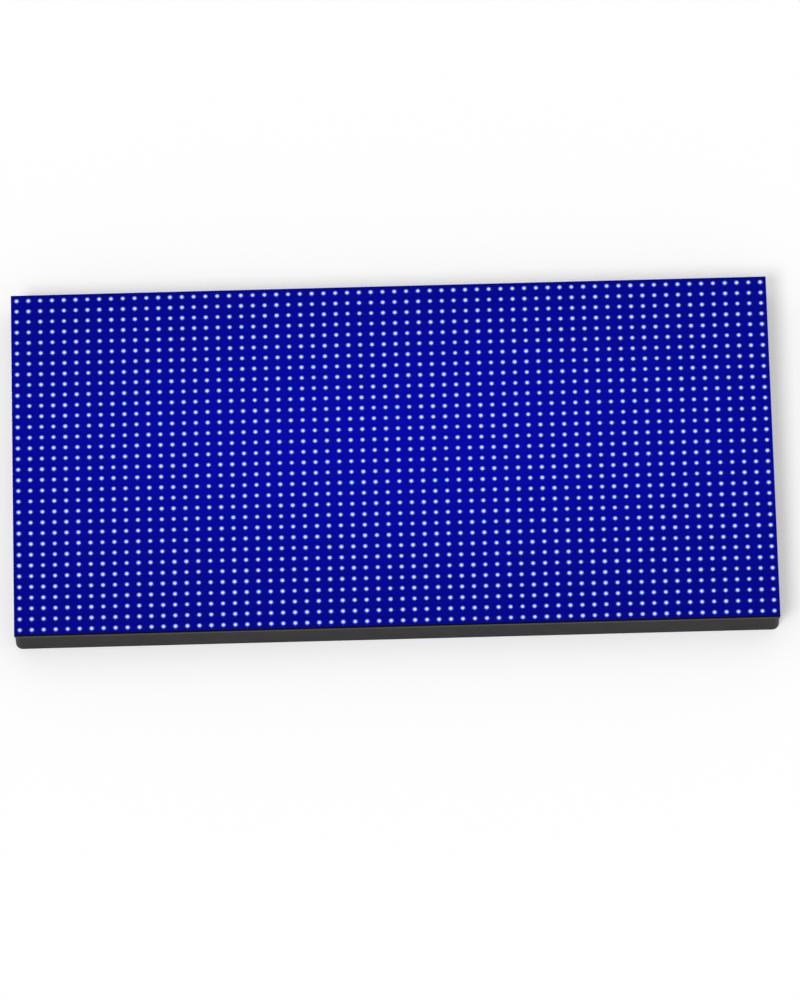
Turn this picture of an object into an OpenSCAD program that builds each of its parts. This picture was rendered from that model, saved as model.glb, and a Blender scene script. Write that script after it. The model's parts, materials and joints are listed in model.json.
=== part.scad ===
// LED dot matrix: a full-colour display module, 64 columns by 32 rows.
// A moulded mask with a window for each LED lies on a circuit board, and a moulded frame backs the board.
// Screws from the back pass through the frame's bosses into bosses of the mask, which reach through the board.
// The origin is the middle of the back. +X runs to the right, +Y to the top and +Z out of the lit face.

/* [LED grid] */
// Distance between neighbouring LED centres
pitch = 5; // [4.8:0.1:6]
// Number of LED columns
columns = 64; // [56:8:80]
// Number of LED rows
rows = 32; // [32:4:40]
// Side of one LED package
led_side = 2.1; // [1.7:0.1:2.1]
// Height of one LED package above the board
led_height = 1.3; // [1.05:0.05:1.45]
// Diameter of the round cup in an LED's face
cup_d = 1.8; // [1.4:0.05:1.9]
// Depth of the cup at its middle
cup_depth = 0.14; // [0.1:0.01:0.2]

/* [Mask] */
// Diameter of the window round each LED
window_d = 3.2; // [3.1:0.05:3.5]
// Thickness of the web that holds the windows
web_t = 0.6; // [0.5:0.05:0.8]
// Space between the web and the board
web_rise = 0.9; // [0.7:0.05:1.1]
// Width of the bars between the rows
bar_w = 1.2; // [0.8:0.1:1.3]
// Height of the bars above the board
bar_h = 1.7; // [1.7:0.05:2]
// Gap left at each side between the mask's edge and the module's nominal size
mask_gap = 0.1; // [0.05:0.05:0.3]

/* [Board] */
// Thickness of the circuit board
board_t = 1.6; // [1.2:0.1:2]
// Gap left at each side between the board's edge and the module's nominal size
board_gap = 0.3; // [0.2:0.05:0.6]

/* [Rear frame] */
// Depth of the frame, from its back to the board
frame_depth = 10.7; // [10.4:0.1:13]
// Thickness of the outer wall
wall_t = 2; // [1.6:0.1:2.6]
// Thickness of the frame's back plate
plate_t = 2; // [1.6:0.1:2.4]
// Thickness of the collar round each bay
collar_t = 1.6; // [1.2:0.1:2]
// Thickness of the thin ribs
rib_t = 1.2; // [1:0.1:1.6]
// Width of the frame's outer members
edge_member_w = 16; // [15:0.5:18]
// Width of the upright members between the bays
upright_w = 12; // [11:0.5:14]
// Gap left at each side between the frame's edge and the module's nominal size
frame_gap = 0.35; // [0.2:0.05:0.6]
// Radius of the frame's outer corners
corner_r = 3; // [2:0.5:4]
// Radius of the bays' corners
bay_r = 4; // [3:0.5:6]
// Width of the cable pass in each end member
cable_pass_w = 40; // [34:1:42]
// Depth of the cable pass from the back
cable_pass_depth = 7; // [5:0.5:8]

/* [Fixings] */
// Distance from the module's edge to the threaded inserts
insert_inset = 10; // [8:0.5:11]
// Outer diameter of a threaded insert
insert_d = 4.6; // [4:0.1:5]
// Length of a threaded insert
insert_len = 5.7; // [4:0.1:6.5]
// Diameter of the bore in a threaded insert
insert_bore = 2.5; // [2.5:0.05:2.6]
// Diameter of an insert's boss
insert_boss_d = 9; // [8:0.5:10]
// Diameter of a screw's shank
screw_d = 2; // [1.8:0.1:2.2]
// Length of a screw under its head
screw_len = 6.5; // [5:0.5:7]
// Diameter of a screw's head
screw_head_d = 4.6; // [4:0.1:4.8]
// Height of a screw's head
screw_head_h = 1.5; // [1.2:0.1:1.8]
// Depth of the seat that a screw's head stands on, from the frame's back
screw_seat = 4.5; // [3.5:0.1:5]
// Thickness of the floor between the seat and the mask's boss
seat_floor = 2; // [1.6:0.1:2.4]
// Diameter of the mask's bosses
mask_boss_d = 3.6; // [3.4:0.05:3.7]
// Outer diameter of the frame's screw bosses
screw_boss_d = 7.6; // [7.4:0.1:8.4]

/* [Electronics] */
// Length of a column driver's body
driver_l = 8.65; // [7:0.05:9]
// Width of a column driver's body
driver_w = 3.9; // [3.5:0.05:4.4]
// Distance between neighbouring drivers
driver_pitch = 20; // [16:0.5:20]
// Length of a ribbon header's shroud
shroud_l = 27.9; // [26:0.1:29]
// Width of a ribbon header's shroud
shroud_w = 8.9; // [8.5:0.1:10]
// Height of a ribbon header's shroud
shroud_h = 9; // [8:0.1:9.4]
// Thickness of a ribbon header's wall
shroud_wall = 1.2; // [1:0.1:1.3]
// Distance between the middles of the power terminal's pins
power_pitch = 3.96; // [3.8:0.01:4.2]
// Diameter of a smoothing capacitor's can
can_d = 8; // [6.3:0.1:8.2]
// Height of a smoothing capacitor
can_h = 6.5; // [5:0.1:7]

/* [Hidden] */
TILES_ACROSS = 8;
TILES_UP = 4;
DRIVER_BANKS = 6;
LED_NODES = [for (r = [1:TILES_UP], c = [1:TILES_ACROSS]) str("leds_", r, "_", c)];
DRIVER_NODES = [for (b = [1:DRIVER_BANKS]) str("driver_ics_", b)];

$fn = 48;
fit_gap = 0.1;      // clearance of a boss or a head in its hole
snug_gap = 0.01;    // clearance of a pin, an insert or a screw in the hole that grips it
overcut = 1;        // how far a cutting tool runs past a face

module_w = pitch * columns;
module_h = pitch * rows;
board_z = frame_depth;
mask_z = board_z + board_t;

// A boss of the mask stands where four cells meet, so a fixing's place is a whole number of pitches.
function snapped(v) = round(v / pitch) * pitch;
function led_x(i) = (i - (columns - 1) / 2) * pitch;
function led_y(j) = (j - (rows - 1) / 2) * pitch;

mask_w = module_w - 2 * mask_gap;
mask_h = module_h - 2 * mask_gap;
rim_w = (pitch - window_d) / 2 - mask_gap;

frame_w = module_w - 2 * frame_gap;
frame_h = module_h - 2 * frame_gap;
upright_x = snapped(module_w * 5 / 32);
bay_top = frame_h / 2 - edge_member_w;
side_bay_out = frame_w / 2 - edge_member_w;
side_bay_in = upright_x + upright_w / 2;
side_bay_x = (side_bay_out + side_bay_in) / 2;
// Each bay is given as the x of its middle and its width.
BAYS = [
    [-side_bay_x, side_bay_out - side_bay_in],
    [0, 2 * upright_x - upright_w],
    [side_bay_x, side_bay_out - side_bay_in]];

cross_rib_y = cable_pass_w / 2 + 2;
cross_rib_h = frame_depth - 3;

insert_x = module_w / 2 - insert_inset;
insert_y = module_h / 2 - insert_inset;
INSERTS = [for (x = [-insert_x, 0, insert_x], y = [-insert_y, insert_y]) [x, y]];
relief_d = insert_bore + 1.1;
relief_end = frame_depth - 2;

screw_row_y = snapped(insert_y);
outer_screw_x = snapped(insert_x);
side_screw_y = snapped(cable_pass_w / 2 + screw_boss_d / 2 + 1);
SCREWS = concat(
    [for (x = [-1, 1], y = [-1, 1]) [x * snapped(module_w * 13 / 32), y * screw_row_y]],
    [for (x = [-1, 1], y = [-1, 0, 1]) [x * upright_x, y * screw_row_y]],
    [for (x = [-1, 1], y = [-1, 1]) [x * outer_screw_x, y * side_screw_y]]);
boss_tip_z = screw_seat + seat_floor + fit_gap;
pilot_end_z = board_z + board_t - 0.2;

header_x = side_bay_x + 22;
pin_side = 0.64;
pin_pitch = 2.54;
header_rows = 8;
shroud_floor = 2.5;
pin_len = shroud_h - 1;

module at_leds(first_column, last_column, first_row, last_row)
    for (i = [first_column:last_column], j = [first_row:last_row])
        translate([led_x(i), led_y(j), 0]) children();

module at_points(points)
    for (p = points) translate([p.x, p.y, 0]) children();

// Turns a piece that is drawn standing on z = 0 so that it hangs from the board's back.
module on_board_back(x, y, turn = 0)
    translate([x, y, board_z]) rotate([180, 0, turn]) children();

module rounded_rect(w, h, r) {
    square([w - 2 * r, h], center = true);
    square([w, h - 2 * r], center = true);
    for (x = [-1, 1], y = [-1, 1])
        translate([x * (w / 2 - r), y * (h / 2 - r)]) circle(r);
}

module bar_at(y, w)
    translate([-mask_w / 2, y - w / 2, 0]) cube([mask_w, w, bar_h]);

// One strip of web with its row of windows, between two bars.
module window_strip(j)
    translate([0, led_y(j), web_rise]) linear_extrude(web_t) difference() {
        square([mask_w, pitch - bar_w], center = true);
        for (i = [0:columns - 1]) translate([led_x(i), 0]) circle(d = window_d);
    }

module mask_rim()
    linear_extrude(bar_h) difference() {
        square([mask_w, mask_h], center = true);
        square([mask_w - 2 * rim_w, mask_h + overcut], center = true);
    }

module mask() {
    end_bar_w = bar_w / 2 - mask_gap;
    color("#15151c") translate([0, 0, mask_z]) {
        mask_rim();
        for (j = [0:rows - 1]) window_strip(j);
        for (j = [1:rows - 1]) bar_at((j - rows / 2) * pitch, bar_w);
        for (side = [-1, 1]) bar_at(side * (mask_h - end_bar_w) / 2, end_bar_w);
        at_points(SCREWS) cylinder(d = mask_boss_d, h = web_rise);
    }
}

// The bosses are moulded on the mask's back. They have a node of their own, so that each piece is of a simple form.
module mask_bosses()
    color("#15151c") at_points(SCREWS) translate([0, 0, boss_tip_z]) difference() {
        cylinder(d = mask_boss_d, h = mask_z - boss_tip_z);
        translate([0, 0, -overcut])
            cylinder(d = screw_d + 2 * snug_gap, h = pilot_end_z - boss_tip_z + overcut);
    }

// A square package whose face is dished where clear resin fills the cup.
module led() {
    dish_r = (pow(cup_d / 2, 2) + pow(cup_depth, 2)) / (2 * cup_depth);
    difference() {
        translate([-led_side / 2, -led_side / 2, 0]) cube([led_side, led_side, led_height]);
        translate([0, 0, led_height - cup_depth + dish_r]) sphere(dish_r);
    }
}

// One tile of LEDs: tile 1, 1 is at the bottom left.
module leds(tile_row, tile_column) {
    across = columns / TILES_ACROSS;
    up = rows / TILES_UP;
    color("#2030ff") translate([0, 0, mask_z])
        at_leds((tile_column - 1) * across, tile_column * across - 1, (tile_row - 1) * up, tile_row * up - 1)
            led();
}

module circuit_board()
    color("#0b3b2a") translate([0, 0, board_z]) difference() {
        translate([board_gap - module_w / 2, board_gap - module_h / 2, 0])
            cube([module_w - 2 * board_gap, module_h - 2 * board_gap, board_t]);
        at_points(SCREWS) translate([0, 0, -overcut])
            cylinder(d = mask_boss_d + 4 * fit_gap, h = board_t + 2 * overcut);
        for (k = [-1.5:1.5]) translate([0, k * power_pitch, -overcut])
            cylinder(d = 1.8, h = board_t + 2 * overcut);
    }

module bay_outline(bay, grow)
    translate([bay[0], 0]) rounded_rect(bay[1] + 2 * grow, 2 * bay_top + 2 * grow, bay_r + grow);

module frame_shell() {
    linear_extrude(plate_t) difference() {
        rounded_rect(frame_w, frame_h, corner_r);
        for (bay = BAYS) bay_outline(bay, 0);
    }
    linear_extrude(frame_depth) difference() {
        rounded_rect(frame_w, frame_h, corner_r);
        rounded_rect(frame_w - 2 * wall_t, frame_h - 2 * wall_t, corner_r - wall_t / 2);
    }
    for (bay = BAYS) linear_extrude(frame_depth) difference() {
        bay_outline(bay, collar_t);
        bay_outline(bay, 0);
    }
}

// Ribs across each bay, which stop short of the board to clear the parts on it.
module cross_ribs()
    for (bay = BAYS, side = [-1, 1])
        translate([bay[0] - bay[1] / 2 - collar_t / 2, side * cross_rib_y - collar_t / 2, 0])
            cube([bay[1] + collar_t, collar_t, cross_rib_h]);

// Thin ribs that tie the outer wall to the collars along the long members.
module channel_ribs() {
    rib_h = frame_depth - 2;
    run = edge_member_w - wall_t / 2 - collar_t / 2;
    for (k = [-7:7], side = [-1, 1])
        translate([k * module_w / 16 + module_w / 64 - rib_t / 2,
                   side > 0 ? bay_top + collar_t / 2 : -bay_top - collar_t / 2 - run, 0])
            cube([rib_t, run, rib_h]);
}

module rear_frame()
    color("#1b1b1e") difference() {
        union() {
            frame_shell();
            cross_ribs();
            channel_ribs();
            at_points(SCREWS) cylinder(d = screw_boss_d, h = frame_depth);
            at_points(INSERTS) cylinder(d = insert_boss_d, h = frame_depth);
        }
        at_points(SCREWS) {
            translate([0, 0, -overcut]) cylinder(d = screw_head_d + 4 * fit_gap, h = screw_seat + overcut);
            cylinder(d = screw_d + 4 * fit_gap, h = frame_depth);
            translate([0, 0, screw_seat + seat_floor])
                cylinder(d = mask_boss_d + 2 * fit_gap, h = frame_depth);
        }
        at_points(INSERTS) {
            translate([0, 0, -overcut]) cylinder(d = insert_d + 2 * snug_gap, h = insert_len + overcut);
            cylinder(d = relief_d, h = relief_end);
        }
        for (side = [-1, 1])
            translate([side * (frame_w / 2 - edge_member_w / 2), 0, cable_pass_depth / 2 - overcut / 2])
                cube([edge_member_w + 2 * collar_t, cable_pass_w, cable_pass_depth + overcut], center = true);
    }

// A brass insert: two gripping bands with a groove between them.
module threaded_inserts() {
    band = insert_len * 0.38;
    groove_d = insert_d - 0.8;
    lead = 0.3;
    color("goldenrod") at_points(INSERTS) rotate_extrude()
        polygon([
            [insert_bore / 2, 0], [insert_d / 2, 0], [insert_d / 2, band], [groove_d / 2, band],
            [groove_d / 2, insert_len - band], [insert_d / 2, insert_len - band],
            [insert_d / 2, insert_len - lead], [insert_d / 2 - lead, insert_len],
            [insert_bore / 2, insert_len]]);
}

// A pan-head self-tapping screw with a cross recess, driven from the back.
module case_screws() {
    slot_w = 0.7;
    slot_l = 2.6;
    slot_depth = 0.9;
    point = 0.8;
    color("silver") at_points(SCREWS) translate([0, 0, screw_seat]) difference() {
        rotate_extrude() polygon([
            [0, -screw_head_h], [screw_head_d / 2 - 0.5, -screw_head_h],
            [screw_head_d / 2, -screw_head_h + 0.5], [screw_head_d / 2, 0], [screw_d / 2, 0],
            [screw_d / 2, screw_len - point], [screw_d / 4, screw_len], [0, screw_len]]);
        for (turn = [0, 90]) rotate(turn)
            translate([-slot_l / 2, -slot_w / 2, -screw_head_h - overcut])
                cube([slot_l, slot_w, slot_depth + overcut]);
    }
}

// A ribbon header's open box, long side along Y, with a key slot in one long wall.
module header_shroud() {
    key_w = 4.5;
    difference() {
        translate([-shroud_w / 2, -shroud_l / 2, 0]) cube([shroud_w, shroud_l, shroud_h]);
        translate([-shroud_w / 2 + shroud_wall, -shroud_l / 2 + shroud_wall, shroud_floor])
            cube([shroud_w - 2 * shroud_wall, shroud_l - 2 * shroud_wall, shroud_h]);
        translate([shroud_w / 2 - shroud_wall - overcut, -key_w / 2, shroud_floor + 1])
            cube([shroud_wall + 2 * overcut, key_w, shroud_h]);
        header_grid() pin(pin_side + 2 * snug_gap, shroud_h + overcut, -overcut);
    }
}

module header_grid()
    for (column = [-0.5, 0.5], k = [0:header_rows - 1])
        translate([column * pin_pitch, (k - (header_rows - 1) / 2) * pin_pitch, 0]) children();

module pin(side, top, bottom = 0)
    translate([-side / 2, -side / 2, bottom]) cube([side, side, top - bottom]);

module header_pins() header_grid() pin(pin_side, pin_len);

module input_shroud() color("#222226") on_board_back(-header_x, 0) header_shroud();
module input_pins() color("gold") on_board_back(-header_x, 0) header_pins();
module output_shroud() color("#222226") on_board_back(header_x, 0, 180) header_shroud();
module output_pins() color("gold") on_board_back(header_x, 0, 180) header_pins();

// A power terminal: a base, a tall back wall with a catch, and four stout pins.
module power_grid()
    for (k = [-1.5:1.5]) translate([0, k * power_pitch, 0]) children();

module power_terminal() {
    base_w = 8;
    base_h = 3.2;
    back_t = 1.2;
    back_h = 9;
    length = 4 * power_pitch;
    catch_h = 1;
    color("ivory") on_board_back(0, 0) difference() {
        union() {
            translate([-base_w / 2, -length / 2, 0]) cube([base_w, length, base_h]);
            translate([base_w / 2 - back_t, -length / 2, 0]) cube([back_t, length, back_h]);
            for (side = [-1, 1]) translate([base_w / 2 - back_t, side * length / 4 + 1.5, back_h - 1.6])
                rotate([90, 0, 0]) linear_extrude(3)
                    polygon([[0, 0], [0, 1.6], [-catch_h, 0.6], [-catch_h, 0]]);
        }
        power_grid() pin(1.14 + 2 * snug_gap, back_h + overcut, -overcut);
    }
}

module power_pins()
    color("silver") on_board_back(0, 0) power_grid() pin(1.14, 8.6, -board_t + 0.3);

// A moulded chip body: its long sides slope away from the parting line.
module chip_body(l, w, h) {
    stand = 0.1;
    slope = 0.18;
    parting = stand + (h - stand) / 2;
    translate([-l / 2, 0, 0]) rotate([90, 0, 90]) linear_extrude(l)
        polygon([
            [-w / 2 + slope, stand], [w / 2 - slope, stand], [w / 2, parting],
            [w / 2 - slope, h], [-w / 2 + slope, h], [-w / 2, parting]]);
}

// Gull-wing leads down both long sides, each as wide as lead_w.
module chip_leads(w, span, count, lead_pitch, lead_w, knee) {
    t = 0.2;
    foot = 0.6;
    reach = (span - w) / 2;
    for (side = [0, 180], k = [0:count - 1])
        rotate(side) translate([(k - (count - 1) / 2) * lead_pitch - lead_w / 2, w / 2, 0])
            rotate([90, 0, 90]) linear_extrude(lead_w)
                polygon([
                    [-t, knee - t], [reach - foot - t, knee - t], [reach - foot, 0], [reach, 0],
                    [reach, t], [reach - foot + t, t], [reach - foot, knee], [-t, knee]]);
}

module chip(l, w, h, span, count, lead_pitch, lead_w) {
    knee = 0.1 + (h - 0.1) / 2 + 0.1;
    chip_body(l, w, h);
    chip_leads(w, span, count, lead_pitch, lead_w, knee);
}

driver_y = (cross_rib_y + collar_t / 2 + bay_top) / 2;

// The four drivers of one bank stand in a row in the top or the bottom of a bay.
function driver_points(bank) =
    let (bay = BAYS[(bank - 1) % 3], y = bank > 3 ? driver_y : -driver_y)
    [for (k = [-1.5:1.5]) [bay[0] + k * driver_pitch, y]];

module driver_ics(bank)
    color("#1c1c1f") for (p = driver_points(bank)) on_board_back(p.x, p.y)
        chip_body(driver_l, driver_w, 1.6);

ALL_DRIVERS = [for (bank = [1:DRIVER_BANKS], p = driver_points(bank)) p];

module block(l, w, h)
    translate([-l / 2, -w / 2, 0]) cube([l, w, h]);

module bypass_capacitors()
    color("tan") for (p = ALL_DRIVERS) on_board_back(p.x + 3, p.y + driver_w / 2 + 3.5)
        block(1.6, 0.8, 0.8);

module current_resistors()
    color("#202024") for (p = ALL_DRIVERS) on_board_back(p.x - 3, p.y + driver_w / 2 + 3.5)
        block(1.6, 0.8, 0.45);

module row_switches()
    color("#1c1c1f") for (side = [-1, 1], k = [-1.5:1.5])
        on_board_back(side * (side_bay_in + collar_t + 8), k * 8.5)
            chip(4.9, 3.9, 1.6, 6, 4, 1.27, 0.4);

module row_decoders()
    color("#1c1c1f") for (side = [-1, 1])
        on_board_back(side_bay_x - 2, side * 9, 90) chip(9.9, 3.9, 1.6, 6, 8, 1.27, 0.4);

module signal_buffers()
    color("#1c1c1f") for (side = [-1, 1])
        on_board_back(-side_bay_x + 2, side * 9, 90) chip(12.8, 7.5, 2.4, 10.3, 10, 1.27, 0.4);

module resistor_arrays()
    color("#202024") for (k = [-2.5:2.5])
        on_board_back(-header_x + shroud_w / 2 + 5, k * 4.4, 90) block(3.2, 1.6, 0.6);

// Aluminium-can capacitors on square bases with two cut corners.
module smoothing_capacitors() {
    base_h = 1.2;
    half = (can_d + 0.3) / 2;
    cut = half * 0.45;
    color("silver") for (x = [-1, 1], y = [-1, 1])
        on_board_back(x * 20, y * 10) {
            linear_extrude(base_h) polygon([
                [-half, -half], [half, -half], [half, half - cut], [half - cut, half],
                [cut - half, half], [-half, half - cut]]);
            translate([0, 0, base_h]) rotate_extrude() polygon([
                [0, 0], [can_d / 2 - 0.4, 0], [can_d / 2 - 0.4, 0.5], [can_d / 2, 0.9],
                [can_d / 2, can_h - base_h - 0.5], [can_d / 2 - 0.5, can_h - base_h], [0, can_h - base_h]]);
        }
}

mask();
mask_bosses();
circuit_board();
rear_frame();
threaded_inserts();
case_screws();
input_shroud();
input_pins();
output_shroud();
output_pins();
power_terminal();
power_pins();
row_switches();
row_decoders();
signal_buffers();
smoothing_capacitors();
resistor_arrays();
bypass_capacitors();
current_resistors();
for (bank = [1:DRIVER_BANKS])
    driver_ics(bank);
for (r = [1:TILES_UP], c = [1:TILES_ACROSS])
    leds(r, c);
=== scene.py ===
"""LED dot matrix module: finishes, fine parts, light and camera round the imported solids.

Lengths are in metres in the module's own frame: +X along the rows of LEDs to the right, +Y to the
top edge and +Z out of the lit face. The origin is the middle of the back, which lies on the floor.
"""

import json
import logging
import math
from dataclasses import dataclass, field
from enum import Enum
from functools import cached_property
from typing import Any, Iterable, Sequence

import bmesh
import bpy
import numpy as np
from mathutils import Matrix, Vector

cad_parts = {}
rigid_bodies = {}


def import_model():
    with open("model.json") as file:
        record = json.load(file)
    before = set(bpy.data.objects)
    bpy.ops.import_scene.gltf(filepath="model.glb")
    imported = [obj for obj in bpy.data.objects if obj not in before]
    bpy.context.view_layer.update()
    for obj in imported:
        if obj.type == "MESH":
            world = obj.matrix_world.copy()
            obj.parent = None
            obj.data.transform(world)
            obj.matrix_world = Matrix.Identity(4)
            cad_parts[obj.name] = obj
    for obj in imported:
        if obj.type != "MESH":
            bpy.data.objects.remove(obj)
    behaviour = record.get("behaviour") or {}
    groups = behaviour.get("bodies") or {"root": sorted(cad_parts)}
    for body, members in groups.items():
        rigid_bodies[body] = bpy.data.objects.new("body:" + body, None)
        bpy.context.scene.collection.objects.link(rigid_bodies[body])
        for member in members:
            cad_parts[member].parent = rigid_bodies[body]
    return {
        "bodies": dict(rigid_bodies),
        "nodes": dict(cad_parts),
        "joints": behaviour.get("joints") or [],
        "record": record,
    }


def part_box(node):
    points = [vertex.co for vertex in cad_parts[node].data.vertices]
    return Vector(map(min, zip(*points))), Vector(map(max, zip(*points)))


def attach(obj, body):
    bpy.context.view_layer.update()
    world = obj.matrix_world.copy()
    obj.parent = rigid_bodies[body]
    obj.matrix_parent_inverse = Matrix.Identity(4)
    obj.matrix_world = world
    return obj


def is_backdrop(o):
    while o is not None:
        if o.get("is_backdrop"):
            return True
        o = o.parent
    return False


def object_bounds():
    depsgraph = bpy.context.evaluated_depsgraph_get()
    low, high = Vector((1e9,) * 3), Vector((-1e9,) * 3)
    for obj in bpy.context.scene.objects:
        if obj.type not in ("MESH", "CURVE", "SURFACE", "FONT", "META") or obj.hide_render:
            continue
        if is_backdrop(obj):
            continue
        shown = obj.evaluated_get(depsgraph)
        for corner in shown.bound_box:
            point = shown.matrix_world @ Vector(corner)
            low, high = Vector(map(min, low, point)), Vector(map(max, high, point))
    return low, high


LOG = logging.getLogger("led_module")
BODY = "root"
MM = 0.001

# Turns a profile drawn in x and y to stand in y and z
UPRIGHT = Matrix(((0, 0, 1), (1, 0, 0), (0, 1, 0))).to_4x4()

Colour = tuple[float, float, float]
Outline = Sequence[tuple[float, float]]


class Slot(Enum):
    """The finishes that the record names."""

    MASK = "mask_plastic"
    PACKAGE = "led_package"
    LAMINATE = "board_laminate"
    FRAME = "frame_plastic"
    BRASS = "insert_brass"
    STEEL = "screw_steel"
    HEADER = "header_plastic"
    GOLD = "pin_gold"
    TERMINAL = "terminal_plastic"
    TIN = "pin_tin"
    CHIP = "chip_plastic"
    CAN = "capacitor_can"
    RESISTOR = "resistor_body"
    CERAMIC = "ceramic_body"


# ---------------------------------------------------------------- shader building


@dataclass(frozen=True)
class Value:
    """A socket that carries one number. Arithmetic on it adds Math nodes."""

    graph: "Graph"
    socket: bpy.types.NodeSocket

    def math(self, operation: str, *operands: "Value | float") -> "Value":
        """Adds one Math node.

        Args:
            operation: the Math node's operation.
            operands: its inputs, in order.

        Returns:
            The node's result.
        """
        node = self.graph.node("ShaderNodeMath", {"operation": operation}, dict(enumerate(operands)))
        return Value(self.graph, node.outputs[0])

    def __add__(self, other: "Value | float") -> "Value":
        """This plus other."""
        return self.math("ADD", self, other)

    def __radd__(self, other: float) -> "Value":
        """Other plus this."""
        return self.math("ADD", other, self)

    def __sub__(self, other: "Value | float") -> "Value":
        """This less other."""
        return self.math("SUBTRACT", self, other)

    def __rsub__(self, other: float) -> "Value":
        """Other less this."""
        return self.math("SUBTRACT", other, self)

    def __mul__(self, other: "Value | float") -> "Value":
        """This times other."""
        return self.math("MULTIPLY", self, other)

    def __rmul__(self, other: float) -> "Value":
        """Other times this."""
        return self.math("MULTIPLY", other, self)

    def __truediv__(self, other: "Value | float") -> "Value":
        """This over other."""
        return self.math("DIVIDE", self, other)

    def __lt__(self, other: "Value | float") -> "Value":
        """1 where this is less than other, and 0 elsewhere."""
        return self.math("LESS_THAN", self, other)

    def __gt__(self, other: "Value | float") -> "Value":
        """1 where this is more than other, and 0 elsewhere."""
        return self.math("GREATER_THAN", self, other)

    def __abs__(self) -> "Value":
        """This without its sign."""
        return self.math("ABSOLUTE", self)

    def floor(self) -> "Value":
        """The whole number at or below this."""
        return self.math("FLOOR", self)

    def root(self) -> "Value":
        """The square root of this."""
        return self.math("SQRT", self)

    def sine(self) -> "Value":
        """The sine of this, in radians."""
        return self.math("SINE", self)

    def rise(self, start: float, end: float) -> "Value":
        """Rises smoothly from 0 where this is start to 1 where it is end."""
        node = self.graph.node(
            "ShaderNodeMapRange",
            {"interpolation_type": "SMOOTHSTEP"},
            {"Value": self, "From Min": start, "From Max": end},
        )
        return Value(self.graph, node.outputs["Result"])


class Graph:
    """The nodes of one material or of the world."""

    def __init__(self, tree: bpy.types.NodeTree) -> None:
        """Starts an empty tree."""
        self.tree = tree
        self.tree.nodes.clear()

    def node(
        self,
        kind: str,
        settings: dict[str, Any] | None = None,
        sockets: dict[str | int, Any] | None = None,
    ) -> bpy.types.Node:
        """Adds one node.

        Args:
            kind: the node's type.
            settings: its properties, and under "stops" a ramp's (position, colour) pairs.
            sockets: what each input gets, by name or number: a value, a Value or a socket.

        Returns:
            The node.
        """
        made = self.tree.nodes.new(kind)
        for name, setting in (settings or {}).items():
            if name == "stops":
                self._set_stops(made.color_ramp, setting)
            else:
                setattr(made, name, setting)
        for key, value in (sockets or {}).items():
            self.feed(made.inputs[key], value)
        return made

    def feed(self, socket: bpy.types.NodeSocket, value: Any) -> None:
        """Links a socket to a Value or another socket, or sets it to a plain value."""
        if isinstance(value, Value):
            self.tree.links.new(value.socket, socket)
        elif isinstance(value, bpy.types.NodeSocket):
            self.tree.links.new(value, socket)
        elif isinstance(value, tuple) and socket.type == "RGBA":
            socket.default_value = (*value, 1.0)
        else:
            socket.default_value = value

    @staticmethod
    def _set_stops(ramp: bpy.types.ColorRamp, stops: Sequence[tuple[float, Colour]]) -> None:
        """Gives a colour ramp its stops."""
        while len(ramp.elements) < len(stops):
            ramp.elements.new(0.5)
        for element, (position, colour) in zip(ramp.elements, stops):
            element.position = position
            element.color = (*colour, 1.0)

    def position(self) -> tuple[Value, Value, Value]:
        """The place on the module, as its x, y and z."""
        place = self.node("ShaderNodeTexCoord").outputs["Object"]
        parts = self.node("ShaderNodeSeparateXYZ", None, {0: place})
        return tuple(Value(self, parts.outputs[k]) for k in range(3))

    def stretched(self, scale: Colour) -> bpy.types.NodeSocket:
        """The place on the module, multiplied along each axis."""
        place = self.node("ShaderNodeTexCoord").outputs["Object"]
        made = self.node("ShaderNodeVectorMath", {"operation": "MULTIPLY"}, {0: place, 1: scale})
        return made.outputs["Vector"]

    def noise(
        self, size: float, detail: float = 2.0, roughness: float = 0.5, stretch: Colour = (1.0, 1.0, 1.0)
    ) -> Value:
        """Even noise from 0 to 1.

        Args:
            size: the size of one blotch.
            detail: how many finer layers it has.
            roughness: how strong the finer layers are.
            stretch: how much closer the blotches stand along each axis.

        Returns:
            The noise.
        """
        place = self.stretched(stretch)
        sockets = {"Vector": place, "Scale": 1.0 / size, "Detail": detail, "Roughness": roughness}
        made = self.node("ShaderNodeTexNoise", {"noise_dimensions": "3D"}, sockets)
        return Value(self, made.outputs["Fac"])

    def cell_chance(self, column: Value, row: Value, seed: float = 0.0) -> Value:
        """A random number from 0 to 1 for each whole column and row."""
        place = self.node("ShaderNodeCombineXYZ", None, {0: column, 1: row, 2: seed})
        made = self.node("ShaderNodeTexWhiteNoise", {"noise_dimensions": "3D"}, {"Vector": place.outputs[0]})
        return Value(self, made.outputs["Value"])

    def blend(self, factor: Value | float, first: Any, second: Any) -> bpy.types.NodeSocket:
        """Mixes two colours, from the first where the factor is 0 to the second where it is 1."""
        made = self.node(
            "ShaderNodeMix", {"data_type": "RGBA"}, {"Factor": factor, 6: first, 7: second}
        )
        return made.outputs[2]

    def scaled(self, colour: Any, amount: Value) -> bpy.types.NodeSocket:
        """A colour times a number."""
        made = self.node("ShaderNodeVectorMath", {"operation": "SCALE"}, {0: colour, "Scale": amount})
        return made.outputs["Vector"]

    def relief(self, height: Value, depth: float) -> bpy.types.NodeSocket:
        """A normal that shows a height from 0 to 1 as that much depth."""
        made = self.node(
            "ShaderNodeBump", None, {"Height": height, "Distance": depth, "Strength": 1.0}
        )
        return made.outputs["Normal"]

    def surface(self, **sockets: Any) -> None:
        """Ends the tree in a Principled shader with these inputs, named with underscores for spaces."""
        named = {name.replace("_", " "): value for name, value in sockets.items()}
        shader = self.node("ShaderNodeBsdfPrincipled", None, named)
        self.node("ShaderNodeOutputMaterial", None, {"Surface": shader.outputs[0]})


# ---------------------------------------------------------------- finishes


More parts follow.
